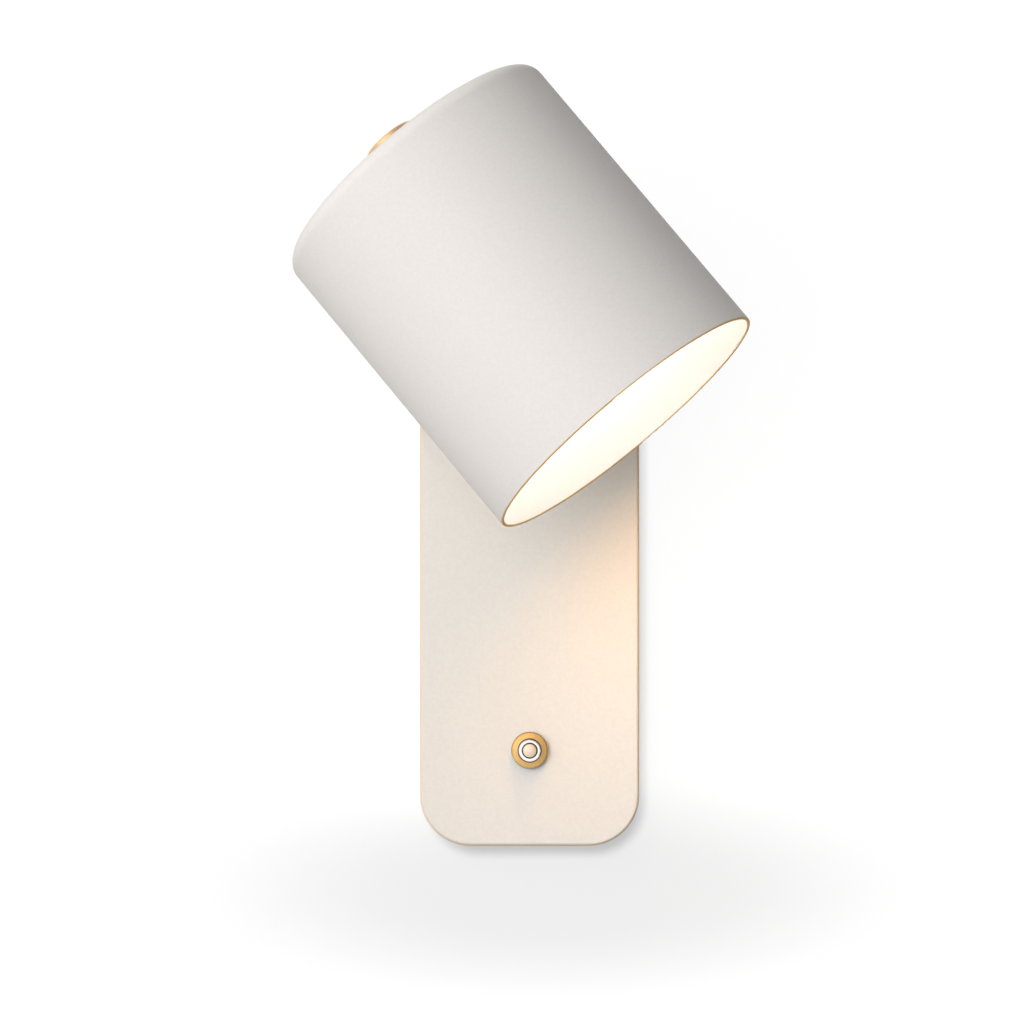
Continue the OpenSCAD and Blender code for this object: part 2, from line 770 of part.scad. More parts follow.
module spring_washer() color("silver") at_yoke() rotate([-90, 0, 0]) rotate_extrude() polygon([
    [tube_hole_r, cone_start + cone_t / 2], [tube_hole_r + cone_lip, cone_start + cone_t],
    [tube_hole_r + cone_crown, cone_start + cone_t], [stop_disc_r - cone_lip, cone_start + cone_t / 2],
    [stop_disc_r - cone_lip, cone_start], [stop_disc_r - cone_crown, cone_start]
]);

module swivel_nut() color("goldenrod") at_yoke() rotate([-90, 0, 0])
    z_nut(nut_flats, tube_hole_r, nut_start, nut_start + nut_h);

module swivel_yoke() color("gold") at_yoke() difference() {
    union() {
        rotate([90, 0, 0]) rotate_extrude() union() {
            translate([0, yoke_back]) square([yoke_disc_r - yoke_edge_r, yoke_disc_t]);
            translate([0, yoke_back]) square([yoke_disc_r, yoke_disc_t - yoke_edge_r]);
            translate([yoke_disc_r - yoke_edge_r, yoke_floor - yoke_edge_r]) circle(yoke_edge_r, $fn = 32);
        }
        for (side = [0, 1]) mirror([side, 0, 0]) {
            translate([0, -pivot_out, 0]) x_rod(cheek_r, cheek_in, cheek_out);
            translate([cheek_in, -pivot_out, -cheek_r])
                cube([cheek_t, pivot_out - yoke_floor + 1, 2 * cheek_r]);
        }
    }
    y_rod(tube_hole_r, -yoke_floor - 1, 0);
    translate([0, -pivot_out, 0]) x_rod(pivot_thread_r + thread_gap, -yoke_disc_r, yoke_disc_r);
}

// Two shoulder screws whose plain tips carry the arm and leave the middle open for the lead
module tilt_pivots() color("goldenrod") at_yoke() translate([0, -pivot_out, 0])
    for (side = [0, 1]) mirror([side, 0, 0]) difference() {
        union() {
            x_rod(pivot_tip_r, arm_half_w - pivot_bite, cheek_in);
            x_rod(pivot_thread_r, cheek_in, cheek_out);
            rotate([0, 90, 0]) rotate_extrude() polygon([
                [0, cheek_out], [pivot_head_r, cheek_out], [pivot_head_r, cheek_out + pivot_head_h * 0.7],
                [pivot_head_r - pivot_head_ease, cheek_out + pivot_head_h], [0, cheek_out + pivot_head_h]
            ]);
        }
        translate([cheek_out + pivot_head_h - slot_deep, -pivot_head_r - 1, -slot_w / 2])
            cube([2, 2 * pivot_head_r + 2, slot_w]);
    }

module tilt_washers() color("ivory") at_yoke() translate([0, -pivot_out, 0])
    for (side = [0, 1]) mirror([side, 0, 0]) difference() {
        x_rod(tilt_washer_r, cheek_in - tilt_washer_t, cheek_in);
        x_rod(pivot_tip_r + thread_gap, 0, cheek_in + 1);
    }

// Head: arm, shade and lamp

// Hollow arm: a square heel that meets the yoke's floor at both tilt limits, and a foot that fits the shade
module tilt_arm() color("gold") at_pivot() difference() {
    union() {
        translate([-arm_half_w, -foot_start - neck_lap, -neck_half_h])
            cube([2 * arm_half_w, foot_start + neck_lap, 2 * neck_half_h]);
        translate([-arm_half_w, 0, -heel_bottom]) cube([2 * arm_half_w, heel_back, heel_top + heel_bottom]);
        x_rod(neck_half_h + neck_boss, -arm_half_w, arm_half_w);
        y_rod(foot_r, -arm_reach - foot_wrap, -foot_start);
        y_rod(tube_r, arm_tube_end, -foot_start);
    }
    difference() {
        y_rod(foot_r + 1, -arm_reach - 1, -foot_start);
        y_rod(tube_r, -arm_reach - 2, -foot_start + 1);
        shade_space(shade_r + saddle_gap, true);
    }
    y_rod(tube_bore / 2, arm_tube_end - 1, heel_back + 1);
    translate([0, heel_back + hair, 0]) rotate([90, 0, 0])
        cylinder(r1 = lead_window_r + lead_window_flare, r2 = lead_window_r, h = heel_back - pivot_tip_r - 1);
    x_rod(pivot_tip_r + running_gap, -arm_half_w - 1, arm_half_w + 1);
}

// Space outside the shade's cylinder, near the arm's foot, or the cylinder itself
module shade_space(r, outside) {
    translate([0, -arm_reach - shade_r, 0]) {
        if (outside) z_ring(r + fit_depth, r, -fit_half, fit_half, $fn = 360);
        else z_rod(r, -fit_half, fit_half, $fn = 360);
    }
}

// Washer that fits the shade's inside curve and gives the nut a flat seat
module saddle_washer() color("silver") at_pivot() difference() {
    intersection() {
        y_rod(saddle_r, -arm_reach - shade_wall - saddle_t, -arm_reach);
        shade_space(shade_r - shade_wall - saddle_gap, false);
    }
    y_rod(tube_hole_r, -arm_reach - fit_half, 0);
}

module arm_nut() color("goldenrod") at_pivot() translate([0, -arm_reach - shade_wall - saddle_t, 0])
    rotate([90, 0, 0]) z_nut(nut_flats, tube_hole_r, 0, thin_nut_h);

// Spun drum: closed crown with a small radius, open at the other end
module shade() color("linen") difference() {
    at_crown() rotate_extrude($fn = 128) shade_profile();
    at_pivot() y_rod(tube_r + shade_hole_gap, -arm_reach - fit_depth, 0);
}

// Half section of the shade with its middle hole and its rounded rim
module shade_profile() mirror([0, 1]) union() {
    inner_r = shade_crown_r - shade_wall;
    rim_start = shade_len - shade_wall / 2;
    difference() {
        union() {
            square([shade_r - shade_crown_r, rim_start]);
            translate([0, shade_crown_r]) square([shade_r, rim_start - shade_crown_r]);
            translate([shade_r - shade_crown_r, shade_crown_r]) circle(shade_crown_r, $fn = 96);
        }
        translate([0, shade_wall]) square([shade_r - shade_crown_r, shade_len]);
        translate([0, shade_crown_r]) square([shade_r - shade_wall, shade_len]);
        translate([shade_r - shade_crown_r, shade_crown_r]) circle(inner_r, $fn = 96);
        square([tube_r + shade_hole_gap, 2 * shade_wall]);
    }
    translate([shade_r - shade_wall / 2, rim_start]) circle(shade_wall / 2, $fn = 32);
}

// Turned brass cap with an eased edge and a slightly crowned top
module crown_cap() color("goldenrod") at_crown() rotate_extrude() difference() {
    crown_sphere_r = (pow(cap_d / 2, 2) + pow(cap_rise, 2)) / (2 * cap_rise);
    intersection() {
        union() {
            square([cap_d / 2, cap_h - cap_edge_r]);
            square([cap_d / 2 - cap_edge_r, cap_h]);
            translate([cap_d / 2 - cap_edge_r, cap_h - cap_edge_r]) circle(cap_edge_r, $fn = 32);
        }
        translate([0, cap_h - crown_sphere_r]) circle(crown_sphere_r, $fn = 720);
        square([cap_d, cap_h + 1]);
    }
    square([tube_hole_r, cap_hole_deep]);
}

module crown_nut() color("goldenrod") at_crown() z_nut(nut_flats, tube_hole_r, holder_top, crown_nut_top);

module nipple() color("gold") at_crown() z_ring(tube_r, tube_bore / 2, holder_top - nipple_down, nipple_up);

module lampholder_cap() color("whitesmoke") at_crown() difference() {
    r = holder_d / 2;
    rotate_extrude() difference() {
        polygon([
            [0, holder_top], [holder_top_r, holder_top], [r - holder_slope_in, holder_top - holder_slope_end],
            [r, holder_top - holder_shoulder], [r, holder_split], [0, holder_split]
        ]);
        polygon([
            [0, holder_top - holder_roof_t], [holder_top_r - holder_slope_in, holder_top - holder_roof_t],
            [r - holder_wall - holder_lap, holder_top - holder_shoulder],
            [r - holder_wall, holder_top - holder_shoulder - holder_wall],
            [r - holder_wall, holder_split - holder_lap], [0, holder_split - holder_lap]
        ]);
    }
    z_rod(tube_hole_r, holder_top - holder_roof_t - 1, holder_top + 1);
    translate([0, 0, lead_entry_z]) y_rod(lead_r + lead_gap, 0, r + 1);
}

module lampholder_body() color("whitesmoke") at_crown() rotate_extrude() difference() {
    r = holder_d / 2;
    skirt_r = r - holder_skirt_step;
    polygon([
        [0, holder_split], [r, holder_split], [r, holder_split - holder_skirt_top],
        [skirt_r, holder_split - holder_skirt_top - holder_lap], [skirt_r, holder_mouth + holder_lap],
        [skirt_r - holder_lap, holder_mouth], [0, holder_mouth]
    ]);
    translate([0, holder_mouth - 1]) square([holder_bore_r, holder_bore_end - holder_mouth + 1]);
}

// Brass shell that takes the bulb's screw cap
module holder_shell() color("goldenrod") at_crown()
    z_ring(shell_in_r + shell_t, shell_in_r, shell_start, shell_start + shell_len);

// Springy centre contact, fixed to the floor of the lampholder
module holder_contact() color("goldenrod") at_crown() {
    rise_end = contact_rise_y + contact_rise_t;
    translate([-contact_w / 2, -contact_foot, holder_bore_end - contact_t])
        cube([contact_w, contact_foot + rise_end, contact_t]);
    translate([-contact_w / 2, contact_rise_y, bulb_tip_z])
        cube([contact_w, contact_rise_t, holder_bore_end - bulb_tip_z]);
    translate([-contact_w / 2, -contact_tip, bulb_tip_z])
        cube([contact_w, contact_tip + rise_end, contact_t]);
}

// Opal globe with a neck that runs into the screw cap
module bulb_globe() color("ivory") at_crown() rotate_extrude($fn = 96) union() {
    intersection() {
        translate([0, bulb_mid_z]) circle(bulb_r, $fn = 192);
        translate([0, bulb_end_z]) square([bulb_r, bulb_shoulder_z - bulb_end_z]);
    }
    polygon([
        [0, bulb_shoulder_z], [bulb_shoulder_r, bulb_shoulder_z],
        [bulb_neck_r + bulb_neck_flare, bulb_neck_z - bulb_neck_len],
        [bulb_neck_r, bulb_neck_z], [0, bulb_neck_z]
    ]);
}

module bulb_cap() color("silver") at_crown()
    z_rod(bulb_cap_d / 2, bulb_neck_z, bulb_tip_z - bulb_tip_len);

module bulb_contact() color("black") at_crown() rotate_extrude() polygon([
    [0, bulb_tip_z - bulb_tip_len], [bulb_cap_d / 2 - bulb_tip_inset, bulb_tip_z - bulb_tip_len],
    [bulb_tip_r + bulb_tip_ease / 2, bulb_tip_z - bulb_tip_ease], [bulb_tip_r, bulb_tip_z], [0, bulb_tip_z]
]);

// Lead from the hollow arm up to the lampholder
module lamp_lead() color("gainsboro") at_crown() {
    arm_z = -shade_arm_drop;
    drop_y = arm_reach + shade_r + arm_tube_end - lead_bend - lead_drop_gap;
    wire([
        [0, shade_r + arm_reach - pivot_tip_r - lead_pivot_gap, arm_z], [0, drop_y, arm_z],
        [0, drop_y, lead_entry_z], [0, holder_d / 2 - holder_wall - lead_in_holder, lead_entry_z]
    ], lead_r, lead_bend);
}

wall_bracket();
backplate();
retaining_screws();
cable_grommet();
terminal_block();
terminal_tubes();
terminal_screws();
block_screw();
earth_screw();
earth_lead();
switch_body();
switch_bushing();
switch_ring_nut();
switch_washer();
switch_tags();
switch_button();
switch_spring();
switch_leads();
supply_lead();
swivel_bush();
inner_washer();
swivel_stem();
stop_washer();
spring_washer();
swivel_nut();
swivel_yoke();
tilt_pivots();
tilt_washers();
tilt_arm();
saddle_washer();
arm_nut();
shade();
crown_cap();
crown_nut();
nipple();
lampholder_cap();
lampholder_body();
holder_shell();
holder_contact();
bulb_globe();
bulb_cap();
bulb_contact();
lamp_lead();
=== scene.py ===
import json
import math

import bmesh
import bpy
from mathutils import Matrix, Vector


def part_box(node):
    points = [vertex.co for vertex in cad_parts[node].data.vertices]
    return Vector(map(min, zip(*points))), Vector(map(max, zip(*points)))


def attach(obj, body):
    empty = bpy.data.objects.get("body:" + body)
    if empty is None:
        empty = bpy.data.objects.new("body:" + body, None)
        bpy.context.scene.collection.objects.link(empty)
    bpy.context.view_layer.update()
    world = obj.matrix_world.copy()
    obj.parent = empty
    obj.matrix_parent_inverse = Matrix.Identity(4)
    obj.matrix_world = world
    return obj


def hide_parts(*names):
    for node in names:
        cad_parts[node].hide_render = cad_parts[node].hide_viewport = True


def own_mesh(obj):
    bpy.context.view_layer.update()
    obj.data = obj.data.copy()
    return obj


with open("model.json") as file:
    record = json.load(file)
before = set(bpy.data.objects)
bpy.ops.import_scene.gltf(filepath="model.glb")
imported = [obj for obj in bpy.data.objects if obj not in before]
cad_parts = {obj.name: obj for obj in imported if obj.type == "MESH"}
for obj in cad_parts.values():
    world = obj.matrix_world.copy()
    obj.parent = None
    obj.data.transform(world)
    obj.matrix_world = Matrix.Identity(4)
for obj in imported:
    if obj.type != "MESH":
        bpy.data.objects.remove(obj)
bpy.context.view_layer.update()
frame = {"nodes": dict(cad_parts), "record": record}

MM = 0.001
NODES = frame["nodes"]
WALL_AXIS = Vector((0, 1, 0))
FRONT = -WALL_AXIS
scene = bpy.context.scene


def farthest_along(node, axis):
    return max(vertex.co.dot(axis) for vertex in NODES[node].data.vertices)


def centre_of(node):
    low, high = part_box(node)
    return (low + high) / 2


# The head's turn and lean, as the part's source stores them, give the lamp's axis from crown to rim
SWIVEL_REST = math.radians(39.6)
TILT_REST = math.radians(9.4)
lamp_axis = Vector((math.sin(SWIVEL_REST), 0, -math.cos(SWIVEL_REST))) * math.cos(TILT_REST)
lamp_axis.y = -math.sin(TILT_REST)
rim_along = farthest_along("shade", lamp_axis)

# Camera: square to the wall, with a long lens. The pixels are those of a frame 1024 pixels wide.
PHOTO_PX = 1024
PLATE_PX = 219.3
LENS_PX = 4400
PLATE_FOOT_PX = (529.65, 846)
SENSOR_MM = 36
CLIP_NEAR = 0.05
CLIP_FAR = 50
plate_lo, plate_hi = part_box("backplate")
px = (plate_hi.x - plate_lo.x) / PLATE_PX


def make_camera():
    data = bpy.data.cameras.new("camera")
    data.sensor_width = SENSOR_MM
    data.lens = LENS_PX / PHOTO_PX * SENSOR_MM
    data.clip_start = CLIP_NEAR
    data.clip_end = CLIP_FAR
    camera = bpy.data.objects.new("camera", data)
    camera.location.x = (PHOTO_PX / 2 - PLATE_FOOT_PX[0]) * px
    camera.location.y = plate_lo.y - LENS_PX * px
    camera.location.z = plate_lo.z + (PLATE_FOOT_PX[1] - PHOTO_PX / 2) * px
    camera.rotation_euler = (math.pi / 2, 0, 0)
    scene.collection.objects.link(camera)
    scene.camera = camera


# Node helpers
def new_material(name):
    material = bpy.data.materials.new(name)
    material.use_nodes = True
    return material, *parts_of(material)


def parts_of(material):
    nodes, links = material.node_tree.nodes, material.node_tree.links
    return nodes, links, nodes["Principled BSDF"]


def object_coords(nodes):
    return nodes.new("ShaderNodeTexCoord").outputs["Object"]


def noise(nodes, links, coords, scale, detail=2, roughness=0.5):
    """Soft noise with so many waves a metre."""
    node = nodes.new("ShaderNodeTexNoise")
    node.inputs["Scale"].default_value = scale
    node.inputs["Detail"].default_value = detail
    node.inputs["Roughness"].default_value = roughness
    links.new(coords, node.inputs["Vector"])
    return node.outputs["Fac"]


def remap(nodes, links, value, low, high, to_low=0, to_high=1):
    """Carries low to to_low and high to to_high, and stays at these beyond. High may be below low."""
    node = nodes.new("ShaderNodeMapRange")
    node.inputs["From Min"].default_value = low
    node.inputs["From Max"].default_value = high
    node.inputs["To Min"].default_value = to_low
    node.inputs["To Max"].default_value = to_high
    links.new(value, node.inputs["Value"])
    return node.outputs["Result"]


def combine(nodes, links, operation, *values):
    """A sum or other operation on one or two values, each a socket or a number."""
    node = nodes.new("ShaderNodeMath")
    node.operation = operation
    for socket, value in zip(node.inputs, values):
        if isinstance(value, bpy.types.NodeSocket):
            links.new(value, socket)
        else:
            socket.default_value = value
    return node.outputs["Value"]


def vector_step(nodes, links, operation, vector, other=None):
    """An operation on a vector, with another fixed vector where it takes two."""
    node = nodes.new("ShaderNodeVectorMath")
    node.operation = operation
    links.new(vector, node.inputs[0])
    if other is not None:
        node.inputs[1].default_value = other
    return node.outputs["Value" if operation in ("DOT_PRODUCT", "LENGTH") else "Vector"]


def off_axis(nodes, links, middle, axis):
    """How far the surface point is from an axis through middle, and how far along it from there."""
    aside = vector_step(nodes, links, "SUBTRACT", object_coords(nodes), middle)
    across = vector_step(nodes, links, "CROSS_PRODUCT", aside, axis)
    radius = vector_step(nodes, links, "LENGTH", across)
    return radius, vector_step(nodes, links, "DOT_PRODUCT", aside, axis)


def bump(nodes, links, height, strength, distance, shader):
    """Bump on the shader, over any bump that it has."""
    node = nodes.new("ShaderNodeBump")
    node.inputs["Strength"].default_value = strength
    node.inputs["Distance"].default_value = distance
    links.new(height, node.inputs["Height"])
    if shader.inputs["Normal"].is_linked:
        links.new(shader.inputs["Normal"].links[0].from_socket, node.inputs["Normal"])
    links.new(node.outputs["Normal"], shader.inputs["Normal"])


def tinted(nodes, links, shader, share, tone):
    """Turns the base colour to another one where share is high."""
    mix = nodes.new("ShaderNodeMix")
    mix.data_type = "RGBA"
    links.new(share, mix.inputs["Factor"])
    links.new(shader.inputs["Base Color"].links[0].from_socket, mix.inputs["A"])
    mix.inputs["B"].default_value = (*tone, 1)
    links.new(mix.outputs["Result"], shader.inputs["Base Color"])


def srgb(r, g, b):
    """A colour of 0 to 255, as linear values."""
    def linear(v):
        v /= 255
        return v / 12.92 if v <= 0.04045 else ((v + 0.055) / 1.055) ** 2.4
    return tuple(linear(v) for v in (r, g, b))


# Finishes: the scales of the noise are in waves a metre. A metal's roughness varies by factors.
DRIFT_STOPS = (0.3, 0.7)
COAT_DRIFT_SCALE = 900
COAT_DRIFT = 0.025
COAT_GRAIN_SCALE = 3200
COAT_GRAIN_BUMP = 0.2
COAT_GRAIN_DEPTH = 0.12 * MM
COAT_SMEAR_SCALE = 1400
COAT_ROUGHNESS = 0.62
COAT_UNEVEN = 0.06
COAT_SPECULAR = 0.2
METAL_DRIFT_SCALE = 260
METAL_DRIFT = 0.03
METAL_GRAIN_SCALE = 2500
METAL_GRAIN_BUMP = 0.06
METAL_GRAIN_DEPTH = 0.05 * MM
METAL_SMEAR_SCALE = 420
METAL_UNEVEN = (0.75, 1.3)
PLASTIC_DRIFT_SCALE = 300
PLASTIC_DRIFT = 0.02
PLASTIC_GRAIN_SCALE = 1800
PLASTIC_GRAIN_BUMP = 0.08
PLASTIC_GRAIN_DEPTH = 0.08 * MM
PLASTIC_SMEAR_SCALE = 500
PLASTIC_UNEVEN = 0.05


def mottled(nodes, links, shader, colour, scale, spread):
    """Base colour that drifts a little over the surface."""
    coords = object_coords(nodes)
    drift = nodes.new("ShaderNodeValToRGB")
    for element, place, factor in zip(drift.color_ramp.elements, DRIFT_STOPS, (1 - spread, 1 + spread)):
        element.position = place
        element.color = (*(min(1, c * factor) for c in colour), 1)
    links.new(noise(nodes, links, coords, scale, detail=4, roughness=0.6), drift.inputs["Fac"])
    links.new(drift.outputs["Color"], shader.inputs["Base Color"])
    return coords


def uneven(nodes, links, shader, value, low, high):
    """Roughness that goes from low to high as a value goes from nought to one."""
    links.new(remap(nodes, links, value, 0, 1, low, high), shader.inputs["Roughness"])


def paint(name, colour):
    """Fine matt powder coat: a soft grain about a third of a millimetre across."""
    material, nodes, links, shader = new_material(name)
    shader.inputs["Specular IOR Level"].default_value = COAT_SPECULAR
    coords = mottled(nodes, links, shader, colour, COAT_DRIFT_SCALE, COAT_DRIFT)
    smear = noise(nodes, links, coords, COAT_SMEAR_SCALE)
    uneven(nodes, links, shader, smear, COAT_ROUGHNESS - COAT_UNEVEN, COAT_ROUGHNESS + COAT_UNEVEN)
    grain = noise(nodes, links, coords, COAT_GRAIN_SCALE, detail=3, roughness=0.6)
    bump(nodes, links, grain, COAT_GRAIN_BUMP, COAT_GRAIN_DEPTH, shader)
    return material


def metal(name, colour, roughness):
    """Turned or plated metal: even colour, slightly uneven polish, a very fine grain."""
    material, nodes, links, shader = new_material(name)
    shader.inputs["Metallic"].default_value = 1
    coords = mottled(nodes, links, shader, colour, METAL_DRIFT_SCALE, METAL_DRIFT)
    smear = noise(nodes, links, coords, METAL_SMEAR_SCALE, detail=3, roughness=0.6)
    uneven(nodes, links, shader, smear, *(roughness * factor for factor in METAL_UNEVEN))
    grain = noise(nodes, links, coords, METAL_GRAIN_SCALE)
    bump(nodes, links, grain, METAL_GRAIN_BUMP, METAL_GRAIN_DEPTH, shader)
    return material


def plastic(name, colour, roughness):
    """Moulded plastic or rubber: a slight grain and an uneven sheen."""
    material, nodes, links, shader = new_material(name)
    coords = mottled(nodes, links, shader, colour, PLASTIC_DRIFT_SCALE, PLASTIC_DRIFT)
    smear = noise(nodes, links, coords, PLASTIC_SMEAR_SCALE)
    uneven(nodes, links, shader, smear, roughness - PLASTIC_UNEVEN, roughness + PLASTIC_UNEVEN)
    grain = noise(nodes, links, coords, PLASTIC_GRAIN_SCALE)
    bump(nodes, links, grain, PLASTIC_GRAIN_BUMP, PLASTIC_GRAIN_DEPTH, shader)
    return material


GLASS_COLOUR = (0.92, 0.90, 0.86)
GLASS_DRIFT_SCALE = 120
GLASS_DRIFT = 0.01
GLASS_ROUGHNESS = 0.25
GLOW_COLOUR = (1.0, 1.0, 0.94)
GLOW_LEVEL = 5.1
GLOW_UNEVEN = 0.04
GLOW_SCALE = 60


def opal_glass(name):
    """Lit opal bulb: a nearly white glow, a little uneven over the glass."""
    material, nodes, links, shader = new_material(name)
    coords = mottled(nodes, links, shader, GLASS_COLOUR, GLASS_DRIFT_SCALE, GLASS_DRIFT)
    shader.inputs["Roughness"].default_value = GLASS_ROUGHNESS
    shader.inputs["Emission Color"].default_value = (*GLOW_COLOUR, 1)
    glow = noise(nodes, links, coords, GLOW_SCALE)
    low, high = GLOW_LEVEL * (1 - GLOW_UNEVEN), GLOW_LEVEL * (1 + GLOW_UNEVEN)
    links.new(remap(nodes, links, glow, 0, 1, low, high), shader.inputs["Emission Strength"])
    return material


# Painted light: a tan band on the shade's open rim that stands in for the lamp's warm glow on the edge
RIM_GLOW_COLOUR = srgb(255, 212, 142)
RIM_GLOW_DEPTH = 0.45 * MM
RIM_GLOW_SOFTNESS = 0.045 * MM


def rim_glow_shade_paint(name, colour):
    """The powder coat, with a painted warm glow of the lamp's light in a thin band along the open rim.
    """
    material = paint(name, colour)
    nodes, links, shader = parts_of(material)
    along = vector_step(nodes, links, "DOT_PRODUCT", object_coords(nodes), lamp_axis)
    start = rim_along - RIM_GLOW_DEPTH
    rim_glow = remap(nodes, links, along, start, start + RIM_GLOW_SOFTNESS)
    tinted(nodes, links, shader, rim_glow, RIM_GLOW_COLOUR)
    return material


# Painted warm light and shade along the plate's rounded front edge, where the cosine between the
# surface and the front picks out the edge
EDGE_LIGHT_COLOUR = srgb(238, 218, 194)
EDGE_TO_SIDE = (0.1, 0.25)
EDGE_TO_FACE = (0.99, 0.93)


def edge_lit_plate_paint(name, colour):
    """The powder coat, with painted warm light and shade in a band along the rounded front edge."""
    material = paint(name, colour)
    nodes, links, shader = parts_of(material)
    normal = nodes.new("ShaderNodeNewGeometry").outputs["Normal"]
    ahead = vector_step(nodes, links, "DOT_PRODUCT", normal, FRONT)
    off_side = remap(nodes, links, ahead, *EDGE_TO_SIDE)
    off_face = remap(nodes, links, ahead, *EDGE_TO_FACE)
    tinted(nodes, links, shader, combine(nodes, links, "MULTIPLY", off_side, off_face), EDGE_LIGHT_COLOUR)
    return material


# Painted shade: a dark colour laid into the switch's bores and on the nut's outer side, where shade
# falls
SWITCH_PAINTED_SHADE = (0.10, 0.07, 0.045)
BUTTON_GAP_R = 2.85 * MM
BUSHING_SIDE_R = 4.0 * MM
NUT_BORE_R = 4.45 * MM
NUT_SIDE = 0.12 * MM
RING_SOFTNESS = 0.05 * MM


def shade_ringed(material, inner, outer):
    """Paints shade on a ring of the switch: dark in its bore, within one radius, and on its side,
    beyond another, where shade falls in the gaps.
    """
    nodes, links, shader = parts_of(material)
    radius, _ = off_axis(nodes, links, centre_of("switch_ring_nut"), WALL_AXIS)
    bore_shade = remap(nodes, links, radius, inner, inner - RING_SOFTNESS)
    side_shade = remap(nodes, links, radius, outer, outer + RING_SOFTNESS)
    tinted(nodes, links, shader, combine(nodes, links, "MAXIMUM", bore_shade, side_shade), SWITCH_PAINTED_SHADE)
    return material


NUT_TURNING_PITCH = 0.8 * MM
CAP_TURNING_PITCH = 0.5 * MM
TURNING_DEPTH = 0.03 * MM
TURNING_BUMP = 0.5


def turned(material, middle, axis, pitch):
    """Fine rings that a lathe leaves round an axis."""
    nodes, links, shader = parts_of(material)
    path = combine(nodes, links, "ADD", *off_axis(nodes, links, middle, axis))
    wave = combine(nodes, links, "SINE", combine(nodes, links, "MULTIPLY", path, 2 * math.pi / pitch))
    bump(nodes, links, wave, TURNING_BUMP, TURNING_DEPTH, shader)
    return material


# The finish of each slot in the record, with its colour and its roughness
PLATE_PAINT = srgb(237, 234, 230)
SHADE_PAINT = srgb(238, 233, 228)
MATERIALS = {
    "cream_paint": paint("cream_paint", PLATE_PAINT),
    "zinc_steel": metal("zinc_steel", (0.60, 0.61, 0.63), 0.34),
    "brass": metal("brass", (0.90, 0.61, 0.27), 0.42),
    "chrome": metal("chrome", (0.93, 0.93, 0.93), 0.16),
    "nickel": metal("nickel", (0.70, 0.67, 0.62), 0.18),
    "button_plastic": plastic("button_plastic", srgb(250, 228, 205), 0.3),
    "white_plastic": plastic("white_plastic", (0.82, 0.81, 0.78), 0.4),
    "dark_plastic": plastic("dark_plastic", (0.03, 0.03, 0.03), 0.45),
    "nylon": plastic("nylon", (0.78, 0.76, 0.69), 0.4),
    "black_rubber": plastic("black_rubber", (0.025, 0.025, 0.025), 0.7),
    "lead_sheath": plastic("lead_sheath", (0.72, 0.71, 0.68), 0.45),
    "brown_insulation": plastic("brown_insulation", (0.16, 0.06, 0.025), 0.4),
    "earth_insulation": plastic("earth_insulation", (0.30, 0.42, 0.05), 0.4),
    "opal_glass": opal_glass("opal_glass"),
}

# The pieces that the front shows have a finish of their own
NUT_BRASS = (0.75, 0.51, 0.205)
NUT_ROUGHNESS = 0.62
CAP_BRASS = (0.80, 0.56, 0.29)
CAP_ROUGHNESS = 0.56
BUSHING_CHROME = (0.95, 0.95, 0.95)
BUSHING_ROUGHNESS = 0.22


def dress_nodes():
    finishes = {s["node"]: MATERIALS[s["material_slot"]] for s in frame["record"]["subparts"]}
    finishes["shade"] = rim_glow_shade_paint("rim_glow_shade_paint", SHADE_PAINT)
    finishes["backplate"] = edge_lit_plate_paint("edge_lit_plate_paint", PLATE_PAINT)

    nut_lo, nut_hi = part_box("switch_ring_nut")
    nut = metal("satin_brass", NUT_BRASS, NUT_ROUGHNESS)
    turned(nut, centre_of("switch_ring_nut"), WALL_AXIS, NUT_TURNING_PITCH)
    finishes["switch_ring_nut"] = shade_ringed(nut, NUT_BORE_R, (nut_hi.x - nut_lo.x) / 2 - NUT_SIDE)

    cap = metal("cap_brass", CAP_BRASS, CAP_ROUGHNESS)
    finishes["crown_cap"] = turned(cap, centre_of("crown_cap"), lamp_axis, CAP_TURNING_PITCH)

    bushing = metal("bright_chrome", BUSHING_CHROME, BUSHING_ROUGHNESS)
    finishes["switch_bushing"] = shade_ringed(bushing, BUTTON_GAP_R, BUSHING_SIDE_R)

    for name, obj in NODES.items():
        obj.data.materials.clear()
        obj.data.materials.append(finishes[name])


# The push switch's return spring: a wound wire with closed ends, carried on the button's body
COIL_WIRE_R = 0.35 * MM
COIL_TURNS = 5
COIL_CLOSED_TURNS = 0.8
COIL_STEPS = 32
COIL_SIDES = 10


def open_turns(turn):
    """How many of the turns so far are open: those at both ends are closed and touch each other."""
    return min(max(turn - COIL_CLOSED_TURNS, 0), COIL_TURNS - 2 * COIL_CLOSED_TURNS)


